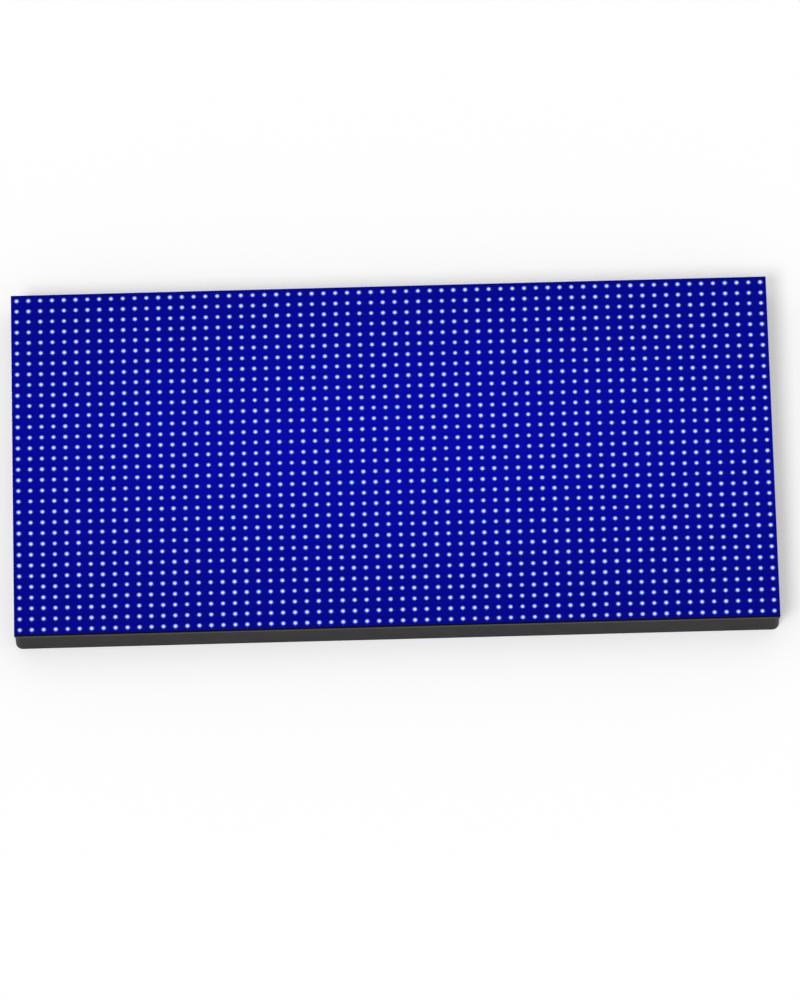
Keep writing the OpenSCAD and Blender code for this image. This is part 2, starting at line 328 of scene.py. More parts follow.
@dataclass(frozen=True)
class Finish:
    """What a surface is made of."""

    name: str

    def dress(self, graph: Graph) -> None:
        """Builds the finish's nodes."""
        raise NotImplementedError

    def material(self) -> bpy.types.Material:
        """A new material with this finish."""
        made = bpy.data.materials.new(self.name)
        made.use_nodes = True
        self.dress(Graph(made.node_tree))
        return made


@dataclass(frozen=True)
class MouldedPlastic(Finish):
    """Moulded plastic: spark-eroded grain, faint flow marks, and a skin that shines a little unevenly."""

    colour: Colour
    roughness: float = 0.5
    grain: float = 0.35 * MM
    depth: float = 0.02 * MM
    shine: float = 0.4
    mottle: float = 0.12

    def dress(self, graph: Graph) -> None:
        """Builds the finish's nodes."""
        flow = graph.noise(38 * MM, 3.0, 0.55, (0.4, 1.0, 1.0))
        grain = graph.noise(self.grain, 2.0, 0.6)
        handling = graph.noise(9 * MM, 5.0, 0.7)
        paler = tuple(min(1.0, c * (1 + self.mottle) + 0.004) for c in self.colour)
        darker = tuple(c * (1 - self.mottle) for c in self.colour)
        graph.surface(
            Base_Color=graph.blend(flow * 0.6 + grain * 0.4, darker, paler),
            Roughness=self.roughness + (handling - 0.5) * 0.22 + (grain - 0.5) * 0.1,
            Specular_IOR_Level=self.shine,
            Normal=graph.relief(grain, self.depth),
        )


@dataclass(frozen=True)
class Metal(Finish):
    """A metal with drawing or turning marks and patches of tarnish."""

    colour: Colour
    tarnish: Colour
    roughness: float = 0.28
    marks: Colour = (1.0, 1.0, 6.0)
    mark_size: float = 0.5 * MM
    tarnish_share: float = 0.35

    def dress(self, graph: Graph) -> None:
        """Builds the finish's nodes."""
        marks = graph.noise(self.mark_size, 3.0, 0.6, self.marks)
        patches = graph.noise(2.2 * MM, 4.0, 0.65).rise(0.45, 0.75)
        graph.surface(
            Base_Color=graph.blend(patches * self.tarnish_share, self.colour, self.tarnish),
            Metallic=1.0,
            Roughness=self.roughness + (marks - 0.5) * 0.16 + patches * 0.14,
            Normal=graph.relief(marks, 0.006 * MM),
        )


@dataclass(frozen=True)
class Glow:
    """The light of the LEDs: a bright spot at each one on an even field that fades to the edges."""

    pitch: float
    half_width: float
    half_height: float
    field: Colour = (0.0003, 0.0011, 0.322)
    spot: tuple[tuple[float, Colour], ...] = (
        (0.0, (0.86, 0.96, 1.0)),
        (0.05, (0.78, 0.9, 1.0)),
        (0.11, (0.4, 0.5, 0.97)),
        (0.16, (0.14, 0.18, 0.7)),
        (0.21, (0.03, 0.04, 0.42)),
        (0.27, (0.001, 0.002, 0.3)),
    )
    spot_edge: tuple[float, float] = (0.17, 0.26)
    spread: float = 0.05
    tint: Colour = (0.72, 1.04, 1.0)
    tinted_share: float = 0.012
    tint_seed: float = 7.0
    ring_shade: float = 0.14
    ring_start: tuple[float, float] = (0.2, 0.28)
    ring_end: tuple[float, float] = (0.32, 0.48)
    brightest_up: float = 0.1
    fade_x: float = 0.85
    fade_y: float = 1.2
    brightest: float = 1.22
    fade: float = 0.44
    fade_end: float = 1.5
    cloud_size: float = 7 * MM
    cloud_share: float = 0.16

    def light(self, graph: Graph) -> bpy.types.NodeSocket:
        """The colour of the light that leaves each point of the face.

        Args:
            graph: the tree to build in.

        Returns:
            The colour's socket.
        """
        x, y, _ = graph.position()
        across, up = x / self.pitch, y / self.pitch
        column, row = across.floor(), up.floor()
        off_x, off_y = across - column - 0.5, up - row - 0.5
        distance = (off_x * off_x + off_y * off_y).root()
        size = graph.cell_chance(column, row) * self.spread * 2 + (1 - self.spread)
        ramp = graph.node(
            "ShaderNodeValToRGB", {"stops": self.spot}, {"Fac": distance / size}
        ).outputs["Color"]
        tinted = graph.cell_chance(column, row, self.tint_seed) < self.tinted_share
        tint = graph.blend(tinted, (1.0, 1.0, 1.0), self.tint)
        spot = graph.node("ShaderNodeVectorMath", {"operation": "MULTIPLY"}, {0: ramp, 1: tint}).outputs[0]
        ring = 1 - self.ring_shade * (distance.rise(*self.ring_start) * (1 - distance.rise(*self.ring_end)))
        field = graph.scaled(self.field, self.falloff(graph, x, y) * ring)
        return graph.blend((distance / size).rise(*self.spot_edge), spot, field)

    def falloff(self, graph: Graph, x: Value, y: Value) -> Value:
        """How bright the field is: most a little above the middle, and least at the edges."""
        off_x = x / self.half_width * self.fade_x
        off_y = (y / self.half_height - self.brightest_up) * self.fade_y
        distance = (off_x * off_x + off_y * off_y).root()
        cloud = graph.noise(self.cloud_size, 2.0, 0.5)
        even = self.brightest - distance.rise(0.0, self.fade_end) * self.fade
        return even + (cloud - 0.5) * self.cloud_share

    def on_face(self, graph: Graph, low: float) -> Value:
        """1 on the lit face above a height, and 0 on the module's outer sides and below."""
        x, y, z = graph.position()
        hair = 0.02 * MM
        return (abs(x) < self.half_width - hair) * (abs(y) < self.half_height - hair) * (z > low)


@dataclass(frozen=True)
class LitPlastic(Finish):
    """Dull near-black plastic that the LEDs' light falls on."""

    glow: Glow
    low: float
    colour: Colour = (0.0012, 0.0012, 0.004)
    roughness: float = 0.62
    shine: float = 0.008

    def dress(self, graph: Graph) -> None:
        """Builds the finish's nodes."""
        grain = graph.noise(0.3 * MM, 2.0, 0.6)
        light = graph.scaled(self.glow.light(graph), self.glow.on_face(graph, self.low))
        graph.surface(
            Base_Color=graph.blend(grain, self.colour, tuple(c * 1.8 for c in self.colour)),
            Roughness=self.roughness + (grain - 0.5) * 0.2,
            Specular_IOR_Level=self.shine,
            Emission_Color=light,
            Emission_Strength=1.0,
            Normal=graph.relief(grain, 0.012 * MM),
        )


@dataclass(frozen=True)
class Laminate(Finish):
    """Glass laminate under solder mask: green behind, with raw edges, and lit in front."""

    glow: Glow
    front: float
    edge_x: float
    edge_y: float
    mask_colour: Colour = (0.006, 0.052, 0.03)
    copper_colour: Colour = (0.016, 0.1, 0.05)
    raw_colour: Colour = (0.07, 0.065, 0.03)

    def dress(self, graph: Graph) -> None:
        """Builds the finish's nodes."""
        x, y, z = graph.position()
        hair = 0.02 * MM
        edge = 1 - (abs(x) < self.edge_x - hair) * (abs(y) < self.edge_y - hair)
        weave_step = 2 * math.pi / (0.9 * MM)
        weave = (x * weave_step).sine() * (y * weave_step).sine() * 0.5 + 0.5
        cloud = graph.noise(14 * MM, 3.0, 0.6)
        layers = (z * (2 * math.pi / (0.2 * MM))).sine() * 0.5 + 0.5
        raw = graph.blend(layers * 0.5, self.raw_colour, tuple(c * 0.6 for c in self.raw_colour))
        green = graph.blend(weave * 0.12 + cloud * 0.25, self.mask_colour, self.copper_colour)
        front = z > self.front - hair
        light = graph.scaled(self.glow.light(graph), front * self.glow.on_face(graph, self.front - hair))
        graph.surface(
            Base_Color=graph.blend(edge, green, raw),
            Roughness=0.28 + edge * 0.5 + (cloud - 0.5) * 0.12 + front * 0.4,
            Specular_IOR_Level=0.35,
            Emission_Color=light,
            Emission_Strength=1.0,
            Normal=graph.relief(weave * 0.4 + cloud * 0.6, 0.006 * MM),
        )


@dataclass(frozen=True)
class CoatedCopper(Finish):
    """Copper under solder mask, a shade brighter than the bare board round it."""

    colour: Colour = (0.02, 0.135, 0.062)

    def dress(self, graph: Graph) -> None:
        """Builds the finish's nodes."""
        cloud = graph.noise(6 * MM, 3.0, 0.6)
        graph.surface(
            Base_Color=graph.blend(cloud, tuple(c * 0.8 for c in self.colour), self.colour),
            Roughness=0.26 + (cloud - 0.5) * 0.12,
            Specular_IOR_Level=0.4,
            Normal=graph.relief(cloud, 0.01 * MM),
        )


@dataclass(frozen=True)
class Ink(Finish):
    """Screen-printed ink with slightly starved edges."""

    colour: Colour

    def dress(self, graph: Graph) -> None:
        """Builds the finish's nodes."""
        dots = graph.noise(0.25 * MM, 3.0, 0.6)
        worn = tuple(c * 0.78 for c in self.colour)
        graph.surface(
            Base_Color=graph.blend(dots.rise(0.35, 0.7), self.colour, worn),
            Roughness=0.55 + (dots - 0.5) * 0.2,
            Specular_IOR_Level=0.3,
            Normal=graph.relief(dots, 0.006 * MM),
        )


@dataclass(frozen=True)
class FiredCeramic(Finish):
    """Fired ceramic: fine speckle under a thin glaze."""

    colour: Colour

    def dress(self, graph: Graph) -> None:
        """Builds the finish's nodes."""
        speckle = graph.noise(0.12 * MM, 3.0, 0.7)
        body = graph.blend(speckle, tuple(c * 0.8 for c in self.colour), self.colour)
        graph.surface(
            Base_Color=body,
            Roughness=0.38 + (speckle - 0.5) * 0.2,
            Specular_IOR_Level=0.4,
            Normal=graph.relief(speckle, 0.008 * MM),
        )


# ---------------------------------------------------------------- meshes


@dataclass
class Solids:
    """Collects many small solids into one piece."""

    name: str
    points: list[tuple[float, float, float]] = field(default_factory=list)
    faces: list[tuple[int, ...]] = field(default_factory=list)

    def add(self, points: Iterable[Sequence[float]], faces: Iterable[Sequence[int]]) -> None:
        """Adds points and the faces between them."""
        base = len(self.points)
        self.points += [tuple(p) for p in points]
        self.faces += [tuple(base + k for k in face) for face in faces]

    def prism(self, outline: Outline, depth: float, place: Matrix) -> None:
        """Adds an outline drawn in x and y and raised along z.

        Args:
            outline: the corners, in order.
            depth: the height along z, from 0.
            place: where the prism goes.
        """
        count = len(outline)
        ends = [place @ Vector((x, y, z)) for z in (0.0, depth) for x, y in outline]
        sides = [(k, (k + 1) % count, count + (k + 1) % count, count + k) for k in range(count)]
        self.add(ends, [tuple(range(count)), tuple(range(2 * count - 1, count - 1, -1)), *sides])

    def block(self, low: Sequence[float], high: Sequence[float]) -> None:
        """Adds a block between two corners."""
        outline = [(low[0], low[1]), (high[0], low[1]), (high[0], high[1]), (low[0], high[1])]
        self.prism(outline, high[2] - low[2], Matrix.Translation((0, 0, low[2])))

    def ring(self, middle: Vector, outer: float, inner: float, depth: float, steps: int) -> None:
        """Adds a flat ring that stands out from a point along -z.

        Args:
            middle: the point on the surface.
            outer: the outer radius.
            inner: the inner radius.
            depth: how far the ring stands out.
            steps: how many sides it has.
        """
        turns = [2 * math.pi * k / steps for k in range(steps)]
        profile = [(outer, 0.0), (outer, -depth), (inner, -depth), (inner, 0.0)]
        points = [
            middle + Vector((r * math.cos(t), r * math.sin(t), z)) for t in turns for r, z in profile
        ]
        faces = []
        for k in range(steps):
            here, there = 4 * k, 4 * ((k + 1) % steps)
            faces += [(here + j, there + j, there + (j + 1) % 4, here + (j + 1) % 4) for j in range(4)]
        self.add(points, faces)

    def strip(self, path: Sequence[tuple[float, float]], width: float, base: float, depth: float) -> None:
        """Adds a flat strip along a path on a plane, standing out along -z.

        Args:
            path: the points of its middle line.
            width: its width.
            base: the plane's z.
            depth: how far it stands out.
        """
        middle = [Vector(p) for p in path]
        runs = [(b - a).normalized() for a, b in zip(middle, middle[1:])]
        points = []
        for k, point in enumerate(middle):
            before, after = runs[max(k - 1, 0)], runs[min(k, len(runs) - 1)]
            bisector = (before + after).normalized()
            across = Vector((-bisector.y, bisector.x))
            half = width / 2 / max(0.5, bisector.dot(after))
            for side, z in ((-1, base), (-1, base - depth), (1, base - depth), (1, base)):
                points.append((point.x + side * half * across.x, point.y + side * half * across.y, z))
        faces = [(0, 1, 2, 3), tuple(4 * (len(middle) - 1) + k for k in (3, 2, 1, 0))]
        for k in range(len(middle) - 1):
            here, there = 4 * k, 4 * k + 4
            faces += [(here + j, there + j, there + (j + 1) % 4, here + (j + 1) % 4) for j in range(4)]
        self.add(points, faces)

    def piece(self, material: bpy.types.Material, slot: Slot) -> bpy.types.Object:
        """Makes the piece, which rides on the module.

        Args:
            material: what it is made of.
            slot: the record's finish that it goes with; not used.

        Returns:
            The object.
        """
        mesh = bpy.data.meshes.new(self.name)
        mesh.from_pydata(self.points, [], self.faces)
        work = bmesh.new()
        work.from_mesh(mesh)
        bmesh.ops.recalc_face_normals(work, faces=work.faces)
        bmesh.ops.triangulate(work, faces=[f for f in work.faces if len(f.verts) > 4])
        work.to_mesh(mesh)
        work.free()
        mesh.materials.append(material)
        made = bpy.data.objects.new(self.name, mesh)
        bpy.context.scene.collection.objects.link(made)
        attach(made, BODY)
        LOG.info("%s: %d faces", self.name, len(mesh.polygons))
        return made


# ---------------------------------------------------------------- places from the frame


@dataclass(frozen=True)
class Box:
    """The lowest and highest corners of something on the module."""

    low: Vector
    high: Vector

    @property
    def middle(self) -> Vector:
        """Its middle."""
        return (self.low + self.high) / 2

    @property
    def size(self) -> Vector:
        """Its size along each axis."""
        return self.high - self.low

    def holds(self, x: float, y: float, margin: float = 0.0) -> bool:
        """Whether a place on the board is in it or within a margin of it."""
        low, high = self.low, self.high
        return low.x - margin < x < high.x + margin and low.y - margin < y < high.y + margin


def separate(spans: np.ndarray, axis: int, gap: float) -> list[np.ndarray]:
    """Splits the boxes of faces into groups that lie apart along an axis.

    Args:
        spans: for each face its lowest and highest corners.
        axis: 0 for x or 1 for y.
        gap: the least distance between groups.

    Returns:
        The groups, in order along the axis.
    """
    spans = spans[spans[:, 0, axis].argsort()]
    reached = np.maximum.accumulate(spans[:, 1, axis])
    breaks = np.flatnonzero(spans[1:, 0, axis] > reached[:-1] + gap) + 1
    return np.split(spans, breaks)


def solids_of(node: bpy.types.Object, gap: float = 0.25 * MM) -> list[Box]:
    """The boxes of a node's separate solids, by columns from the left and upwards in each."""
    points = np.array([v.co for v in node.data.vertices])
    spans = np.array([
        (points[list(face.vertices)].min(0), points[list(face.vertices)].max(0))
        for face in node.data.polygons
    ])
    return [
        Box(Vector(group[:, 0].min(0)), Vector(group[:, 1].max(0)))
        for column in separate(spans, 0, gap)
        for group in separate(column, 1, gap)
    ]


@dataclass(frozen=True)
class Module:
    """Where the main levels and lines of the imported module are."""

    frame: dict[str, Any]
    tile_leds: int = 8
    tiles_across: int = 8
    tiles_up: int = 4

    def box(self, node: str) -> Box:
        """A node's box."""
        return Box(*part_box(node))

    @cached_property
    def pitch(self) -> float:
        """The distance between neighbouring LEDs."""
        first, last = self.box("leds_1_1"), self.box(f"leds_1_{self.tiles_across}")
        return (last.middle.x - first.middle.x) / (self.tile_leds * (self.tiles_across - 1))

    @property
    def led_counts(self) -> tuple[int, int]:
        """How many LEDs there are in a row and in a column."""
        return self.tile_leds * self.tiles_across, self.tile_leds * self.tiles_up

    @cached_property
    def board(self) -> Box:
        """The circuit board's box."""
        return self.box("circuit_board")

    @cached_property
    def back(self) -> float:
        """The z of the board's back, which the parts stand on."""
        return self.board.low.z

    def solids(self, node: str) -> list[Box]:
        """The boxes of a node's separate solids."""
        return solids_of(self.frame["nodes"][node])

    def openings(self, word: str) -> list[Box]:
        """The record's openings with a word in their names."""
        found = self.frame["record"]["physics"]["openings"]
        return [Box(*map(Vector, entry["box_m"])) for entry in found if word in entry["name"]]


# ---------------------------------------------------------------- the board's small parts


class LeadSides(Enum):
    """The two sides of a chip that its leads stand on, each with the axis that the leads stand along."""

    TOP_AND_BOTTOM = 0
    LEFT_AND_RIGHT = 1


@dataclass(frozen=True)
class ChipFamily:
    """Chips of one kind, with leads down two sides."""

    nodes: Sequence[str]
    lead_sides: LeadSides
    leads_a_side: int
    lead_pitch: float = 1.27 * MM
    lead_width: float = 0.4 * MM
    body_width: float = 3.9 * MM
    span: float = 6.0 * MM
    has_leads: bool = True
    foot: float = 0.6 * MM
    metal: float = 0.16 * MM

    def places(self, module: Module) -> list[Box]:
        """The boxes of the chips."""
        return [box for node in self.nodes for box in module.solids(node)]

    def frames(self, module: Module) -> Iterable[tuple[Box, Matrix]]:
        """Each chip with a frame whose x runs along its rows of leads and whose z points off the board."""
        for box in self.places(module):
            along = Matrix.Identity(3)[self.lead_sides.value].copy()
            out = Vector((0, 0, -1))
            across = out.cross(along)
            turn = Matrix((along, across, out)).transposed().to_4x4()
            yield box, Matrix.Translation((box.middle.x, box.middle.y, module.back)) @ turn

    def length(self, box: Box) -> float:
        """A chip's length along its rows of leads."""
        return box.size[self.lead_sides.value]

    def each_lead(self, place: Matrix) -> Iterable[Matrix]:
        """A frame at each lead's middle line, with y running away from the body."""
        for side in (0.0, math.pi):
            for k in range(self.leads_a_side):
                x = (k - (self.leads_a_side - 1) / 2) * self.lead_pitch
                yield place @ Matrix.Rotation(side, 4, "Z") @ Matrix.Translation((x, 0, 0))

    def add_leads(self, module: Module, leads: Solids) -> None:
        """Adds gull-wing leads to chips whose solids have none."""
        knee = 0.85 * MM
        reach, body = self.span / 2, self.body_width / 2
        heel = reach - self.foot
        profile = [
            (body - 0.2 * MM, knee - self.metal), (heel - self.metal, knee - self.metal), (heel, 0.0),
            (reach, 0.0), (reach, self.metal), (heel + self.metal, self.metal), (heel, knee),
            (body - 0.2 * MM, knee),
        ]
        for _, place in self.frames(module):
            for lead in self.each_lead(place):
                start = lead @ Matrix.Translation((-self.lead_width / 2, 0, 0)) @ UPRIGHT
                leads.prism(profile, self.lead_width, start)

    def add_solder(self, module: Module, solder: Solids) -> None:
        """Adds a pad and a fillet of solder under and before each foot."""
        reach = self.span / 2
        pad = 0.04 * MM
        toe, rise, heel = 0.45 * MM, 0.2 * MM, 0.25 * MM
        profile = [
            (reach - self.foot - heel, 0.0), (reach + toe, 0.0), (reach + toe, pad),
            (reach + toe * 0.35, rise * 0.55), (reach, rise), (reach, pad), (reach - self.foot - heel, pad),
        ]
        width = self.lead_width + 0.08 * MM
        for _, place in self.frames(module):
            for lead in self.each_lead(place):
                solder.prism(profile, width, lead @ Matrix.Translation((-width / 2, 0, 0)) @ UPRIGHT)

    def add_marks(self, module: Module, marks: Solids) -> None:
        """Adds a dot on each body at the end of its first lead."""
        for box, place in self.frames(module):
            spot = place @ Vector((0.75 * MM - self.length(box) / 2, 0.7 * MM - self.body_width / 2, 0))
            marks.ring(Vector((spot.x, spot.y, box.low.z)), 0.33 * MM, 0.06 * MM, 0.012 * MM, 18)


@dataclass(frozen=True)
class EndedPart:
    """Block-shaped parts with metal ends, such as resistors and ceramic capacitors."""

    node: str
    end: float
    ends_a_side: int = 1
    skin: float = 0.02 * MM
    cap_toe: float = 0.4 * MM
    row_toe: float = 0.25 * MM
    solder_height: float = 0.06 * MM
    end_share: float = 0.3

    def add_ends(self, module: Module, metal: Solids) -> None:
        """Adds the metal ends, and the solder that holds them."""
        for box in module.solids(self.node):
            long_x = box.size.x > box.size.y
            if self.ends_a_side == 1:
                self._add_caps(box, long_x, module.back, metal)
            else:
                self._add_row(box, long_x, module.back, metal)

    def _add_caps(self, box: Box, long_x: bool, back: float, metal: Solids) -> None:
        """Adds a cap on each end of one part, with a fillet down to the board."""
        axis = 0 if long_x else 1
        low, high = box.low - Vector.Fill(3, self.skin), box.high + Vector.Fill(3, self.skin)
        high.z = back
        for inner, outer, sign in (
            (box.low[axis] + self.end, low[axis], -1), (box.high[axis] - self.end, high[axis], 1),
        ):
            corner, other = low.copy(), high.copy()
            corner[axis], other[axis] = sorted((inner, outer))
            metal.block(corner, other)
            corner[axis], other[axis] = sorted((outer, outer + sign * self.cap_toe))
            corner.z = back - self.solder_height
            metal.block(corner, other)

    def _add_row(self, box: Box, long_x: bool, back: float, metal: Solids) -> None:
        """Adds a row of small ends down both long sides of one part."""
        along, across = (0, 1) if long_x else (1, 0)
        step = box.size[along] / self.ends_a_side
        for k in range(self.ends_a_side):
            middle = box.low[along] + (k + 0.5) * step
            for face, sign in ((box.low[across], -1), (box.high[across], 1)):
                for proud, top in (
                    (self.skin, box.low.z - self.skin), (self.row_toe, back - self.solder_height),
                ):
                    low, high = Vector((0, 0, top)), Vector((0, 0, back))
                    low[along], high[along] = middle - step * self.end_share, middle + step * self.end_share
                    low[across], high[across] = sorted((face - sign * self.end, face + sign * proud))
                    metal.block(low, high)


@dataclass(frozen=True)
class BoardBack:
    """What the board's back has besides its solids: leads, solder, copper, vias and printed outlines."""

    module: Module
    drivers: ChipFamily = ChipFamily(
        tuple(f"driver_ics_{bank}" for bank in range(1, 7)), LeadSides.TOP_AND_BOTTOM, 12,
        lead_pitch=0.635 * MM, lead_width=0.25 * MM, has_leads=False,
    )
    switches: ChipFamily = ChipFamily(("row_switches",), LeadSides.TOP_AND_BOTTOM, 4)
    decoders: ChipFamily = ChipFamily(("row_decoders",), LeadSides.LEFT_AND_RIGHT, 8)
    buffers: ChipFamily = ChipFamily(
        ("signal_buffers",), LeadSides.LEFT_AND_RIGHT, 10, body_width=7.5 * MM, span=10.3 * MM
    )
    metal_end: float = 0.35 * MM
    copper_depth: float = 0.035 * MM
    ink_depth: float = 0.02 * MM
    signal_width: float = 0.22 * MM
    via_outer: float = 0.32 * MM
    via_inner: float = 0.15 * MM
    via_depth: float = 0.049 * MM
    via_sides: int = 8
    fan_via_sides: int = 14
    led_via_x: float = 1.25 * MM
    led_via_y: float = -1.1 * MM
    row_line_y: float = 0.9 * MM
    bus_half: float = 10.5 * MM
    bus_pitch: float = 1.27 * MM
    part_gap: float = 0.9 * MM
    shortest_run: float = 4.0 * MM
    fan_reach: Vector = field(default_factory=lambda: Vector((8.2 * MM, 11.8 * MM, 0.0)))

    @property
    def families(self) -> list[ChipFamily]:
        """The kinds of chips."""
        return [self.drivers, self.switches, self.decoders, self.buffers]

    def build(self, materials: dict[Slot, bpy.types.Material]) -> None:
        """Builds all the fine parts."""
        tin = materials[Slot.TIN]
        leads, solder, marks = Solids("driver_leads"), Solids("solder_joints"), Solids("first_lead_dots")
        for family in self.families:
            if not family.has_leads:
                family.add_leads(self.module, leads)
            family.add_solder(self.module, solder)
            family.add_marks(self.module, marks)
        leads.piece(tin, Slot.TIN)
        solder.piece(tin, Slot.TIN)
        marks.piece(Ink("dot_ink", (0.2, 0.2, 0.2)).material(), Slot.CHIP)
        ends = Solids("metal_ends")
        for node, ends_a_side in (("bypass_capacitors", 1), ("current_resistors", 1), ("resistor_arrays", 4)):
            EndedPart(node, self.metal_end, ends_a_side).add_ends(self.module, ends)
        ends.piece(tin, Slot.TIN)
        self.build_copper()
        self.build_outlines()
        self.build_can_marks()

    def build_copper(self) -> None:
        """Builds the tracks and the vias that they end in."""
        tracks, vias = Solids("copper_tracks"), Solids("board_vias")
        for _, place in self.drivers.frames(self.module):
            self._fan_out(place, tracks, vias)
        taken = self._taken_places()
        self._add_led_vias(taken, vias)
        self._add_row_lines(taken, tracks, vias)
        self._add_bus(taken, tracks, vias)
        coat = CoatedCopper("coated_copper").material()
        tracks.piece(coat, Slot.LAMINATE)
        rim = Metal("via_rim", (0.62, 0.6, 0.5), (0.3, 0.27, 0.18), 0.3).material()
        vias.piece(rim, Slot.TIN)

    def _fan_out(self, place: Matrix, tracks: Solids, vias: Solids) -> None:
        """Adds a track from each of a driver's feet to a via, in steps on both sides."""
        family = self.drivers
        start = family.span / 2 + 0.2 * MM
        for lead_number, lead in enumerate(family.each_lead(place)):
            k = lead_number % family.leads_a_side
            slot_x = (k - (family.leads_a_side - 1) / 2) * family.lead_pitch
            spread = slot_x * 1.2
            straight = 1.2 * MM + 0.55 * MM * (k % 4)
            turn = start + straight
            level = turn + abs(spread)
            path = [(0.0, start), (0.0, turn), (spread, level), (spread, level + 1.0 * MM)]
            placed = [lead @ Vector((x, y, 0)) for x, y in path]
            tracks.strip([(p.x, p.y) for p in placed], self.signal_width, self.module.back, self.copper_depth)
            self._add_via(placed[-1], vias, self.fan_via_sides)

    def _add_via(self, place: Vector, vias: Solids, sides: int) -> None:
        """Adds one via's rim, which stands a little proud of the tracks."""
        vias.ring(place, self.via_outer, self.via_inner, self.via_depth, sides)

    def _taken_places(self) -> list[Box]:
        """The places on the board's back that hold a part, a post's hole or a driver's own tracks."""
        nodes = (
            "input_shroud", "output_shroud", "power_terminal", "smoothing_capacitors", "mask_bosses",
            "row_switches", "row_decoders", "signal_buffers",
            "resistor_arrays", "bypass_capacitors", "current_resistors",
        )
        taken = [box for node in nodes for box in self.module.solids(node)]
        for _, place in self.drivers.frames(self.module):
            middle = place.translation
            taken.append(Box(middle - self.fan_reach, middle + self.fan_reach))
        return taken

    def _grid(self, count: int) -> list[float]:
        """The middles of so many rows or columns of LEDs."""
        return [(k - (count - 1) / 2) * self.module.pitch for k in range(count)]

    def _add_led_vias(self, taken: list[Box], vias: Solids) -> None:
        """Adds the via beside each LED, where a bay leaves the board open and nothing stands."""
        bays = self.module.openings("bay")
        across, up = self.module.led_counts
        for y in self._grid(up):
            for x in self._grid(across):
                spot = x + self.led_via_x, y + self.led_via_y
                if any(box.holds(*spot, self.part_gap) for box in taken):
                    continue
                if any(bay.holds(*spot) for bay in bays):
                    self._add_via(Vector((*spot, self.module.back)), vias, self.via_sides)

    def _add_run(self, y: float, half: float, taken: list[Box], tracks: Solids, vias: Solids) -> None:
        """Adds a straight track along X, broken where something stands, with a via at each end."""
        gap = self.part_gap
        blocked = sorted(
            (box.low.x - gap, box.high.x + gap) for box in taken if box.low.y - gap < y < box.high.y + gap
        )
        start = -half
        for low, high in (*blocked, (half, half)):
            if min(low, half) - start > self.shortest_run:
                ends = start, min(low, half)
                tracks.strip([(x, y) for x in ends], self.signal_width, self.module.back, self.copper_depth)
                for x in ends:
                    self._add_via(Vector((x, y, self.module.back)), vias, self.via_sides)
            start = max(start, high)

    def _add_row_lines(self, taken: list[Box], tracks: Solids, vias: Solids) -> None:
        """Adds each LED row's supply line, but for the rows behind the signal bus."""
        half = self.module.board.high.x - 3 * MM
        for y in self._grid(self.module.led_counts[1]):
            if abs(y) > self.bus_half:
                self._add_run(y + self.row_line_y, half, taken, tracks, vias)

    def _add_bus(self, taken: list[Box], tracks: Solids, vias: Solids) -> None:
        """Adds the lanes that carry the signals from the input header to the output header."""
        half = self.module.box("output_shroud").low.x
        lanes = int(self.bus_half / self.bus_pitch)
        for k in range(-lanes, lanes + 1):
            self._add_run(k * self.bus_pitch, half, taken, tracks, vias)

    def build_outlines(self) -> None:
        """Builds the printed outlines round the parts."""
        print_ = Solids("printed_outlines")
        for family in self.families:
            for box, place in family.frames(self.module):
                self._outline(place, family.length(box) / 2 + 0.5 * MM, family.span / 2 + 0.75 * MM, print_)
        for node in ("input_shroud", "output_shroud", "power_terminal"):
            box = self.module.box(node)
            place = Matrix.Translation((box.middle.x, box.middle.y, self.module.back))
            self._outline(place, box.size.x / 2 + 0.6 * MM, box.size.y / 2 + 0.6 * MM, print_)
        print_.piece(Ink("board_ink", (0.72, 0.73, 0.7)).material(), Slot.LAMINATE)

    def _outline(self, place: Matrix, half_x: float, half_y: float, ink: Solids) -> None:
        """Adds four corner marks, each of two short strokes."""
        stroke, width = 1.1 * MM, 0.16 * MM
        for sx in (-1, 1):
            for sy in (-1, 1):
                path = [
                    (sx * (half_x - stroke), sy * half_y), (sx * half_x, sy * half_y),
                    (sx * half_x, sy * (half_y - stroke)),
                ]
                placed = [place @ Vector((x, y, 0)) for x, y in path]
                ink.strip([(p.x, p.y) for p in placed], width, self.module.back, self.ink_depth)

    def build_can_marks(self) -> None:
        """Builds the dark segment printed on each capacitor's top."""
        marks = Solids("can_segments")
        for box in self.module.solids("smoothing_capacitors"):
            radius = (box.size.x - 0.3 * MM) / 2 - 0.8 * MM
            turns = [math.radians(35 + 110 * k / 16) for k in range(17)]
            outline = [(radius * math.cos(t), radius * math.sin(t)) for t in turns]
            place = Matrix.Translation((box.middle.x, box.middle.y, box.low.z - 0.015 * MM))
            marks.prism(outline, 0.02 * MM, place)
        marks.piece(Ink("can_ink", (0.012, 0.012, 0.014)).material(), Slot.CAN)


# ---------------------------------------------------------------- room, light and camera


